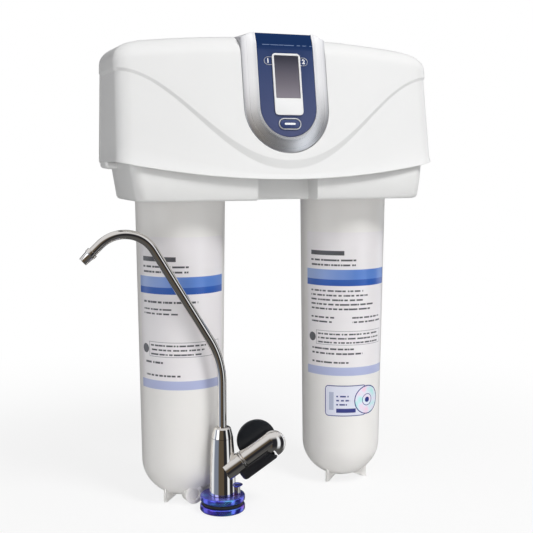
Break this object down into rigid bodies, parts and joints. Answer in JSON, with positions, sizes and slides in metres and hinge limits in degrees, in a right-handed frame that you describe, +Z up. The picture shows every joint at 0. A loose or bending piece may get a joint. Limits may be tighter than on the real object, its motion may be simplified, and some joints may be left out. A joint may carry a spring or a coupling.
{
  "type": "under sink water filter",
  "caption": "Under sink water filter: a wide wave fronted head with a display pod, quick change cartridges below it, and a slim drinking water tap.",
  "frame": {"origin": "middle of the set's box at floor level", "axes": "+Z up, -Y towards the user with the display, the wall behind the head at +Y, +X to the user's right"},
  "size_m": [0.3308, 0.1192, 0.4238],
  "materials": {
    "plate_white": "satin",
    "battery_copper": "satin",
    "battery_box_grey": "matte",
    "ring_silver": "satin",
    "switch_black": "matte",
    "board_green": "satin",
    "bezel_silver": "satin",
    "carrier_white": "matte",
    "module_grey": "matte",
    "panel_navy": "gloss",
    "sensor_plastic": "matte",
    "rotor_plastic": "satin",
    "cover_white": "satin",
    "tray_white": "satin",
    "collet_blue": "satin",
    "connector_plastic": "satin",
    "pipe_plastic": "satin",
    "disc_plastic": "matte",
    "cap_white": "satin",
    "canister_white": "satin",
    "left_media": "matte",
    "right_media": "matte",
    "seal_rubber": "matte",
    "manifold_plastic": "matte",
    "valve_plastic": "satin",
    "grip_black": "satin",
    "chrome": "mirror",
    "screw_steel": "satin",
    "button_navy": "satin",
    "base_blue": "gloss",
    "brass": "satin",
    "frame_white": "satin",
    "glass_dark": "gloss"
  },
  "bodies": {
    "filter_head": {"back_plate": "plate_white", "battery_1": "battery_copper", "battery_2": "battery_copper", "battery_box": "battery_box_grey", "button_ring": "ring_silver", "button_switch": "switch_black", "circuit_board": "board_green", "display_bezel": "bezel_silver", "display_carrier": "carrier_white", "display_module": "module_grey", "display_panel": "panel_navy", "flow_sensor_body": "sensor_plastic", "head_cover": "cover_white", "head_tray": "tray_white", "inlet_collet": "collet_blue", "inlet_connector": "connector_plastic", "inlet_pipe": "pipe_plastic", "left_cross_pipe": "pipe_plastic", "left_manifold": "manifold_plastic", "manifold_screw_1": "screw_steel", "manifold_screw_2": "screw_steel", "manifold_screw_3": "screw_steel", "manifold_screw_4": "screw_steel", "outlet_collet": "collet_blue", "outlet_connector": "connector_plastic", "outlet_pipe": "pipe_plastic", "right_cross_pipe": "pipe_plastic", "right_manifold": "manifold_plastic", "spout_nut": "chrome", "tap_base_seal": "seal_rubber", "tap_body": "chrome", "tap_lower_flange": "base_blue", "tap_upper_flange": "base_blue", "valve_bonnet": "chrome", "window_frame": "frame_white", "window_glass": "glass_dark"},
    "left_cartridge": {"left_cartridge_shell": "canister_white", "left_cartridge_cap": "cap_white", "left_lower_seal": "seal_rubber", "left_upper_seal": "seal_rubber", "left_filter_block": "left_media", "left_block_top_disc": "disc_plastic", "left_valve_plug": "valve_plastic"},
    "right_cartridge": {"right_cartridge_shell": "canister_white", "right_cartridge_cap": "cap_white", "right_lower_seal": "seal_rubber", "right_upper_seal": "seal_rubber", "right_filter_block": "right_media", "right_block_top_disc": "disc_plastic", "right_valve_plug": "valve_plastic"},
    "flow_rotor": {"flow_sensor_rotor": "rotor_plastic"},
    "display_button": {"push_button": "button_navy"},
    "spout": {"spout_tube": "chrome", "spout_nozzle": "chrome", "spout_seal": "seal_rubber"},
    "lever": {"lever_handle": "chrome", "lever_grip": "grip_black", "lever_paddle": "grip_black", "paddle_screw": "screw_steel", "valve_stem": "brass"}
  },
  "joints": [
    {"name": "left_cartridge_turn", "type": "hinge", "parent": "filter_head", "child": "left_cartridge", "pos_m": [-0.06621, 0.00959, 0.3], "axis": [0, 0, -1], "range_deg": [0, 90]},
    {"name": "right_cartridge_turn", "type": "hinge", "parent": "filter_head", "child": "right_cartridge", "pos_m": [0.09659, 0.00959, 0.3], "axis": [0, 0, -1], "range_deg": [0, 90]},
    {"name": "flow_rotor_spin", "type": "hinge", "parent": "filter_head", "child": "flow_rotor", "pos_m": [0.01519, 0.00959, 0.3368], "axis": [1, 0, 0], "continuous": true},
    {"name": "display_button_push", "type": "slide", "parent": "filter_head", "child": "display_button", "axis": [0, 0.9839, -0.1788], "range_m": [0, 0.0012], "stiffness_N_per_m": 300, "springref_m": -0.001},
    {"name": "spout_swivel", "type": "hinge", "parent": "filter_head", "child": "spout", "pos_m": [-0.04311, -0.03941, 0.07], "axis": [0, 0, 1], "range_deg": [0, 170]},
    {"name": "lever_turn", "type": "hinge", "parent": "filter_head", "child": "lever", "pos_m": [-0.04367, -0.04589, 0.0355], "axis": [-0.8402, 0.0735, -0.5373], "range_deg": [0, 90]}
  ]
}
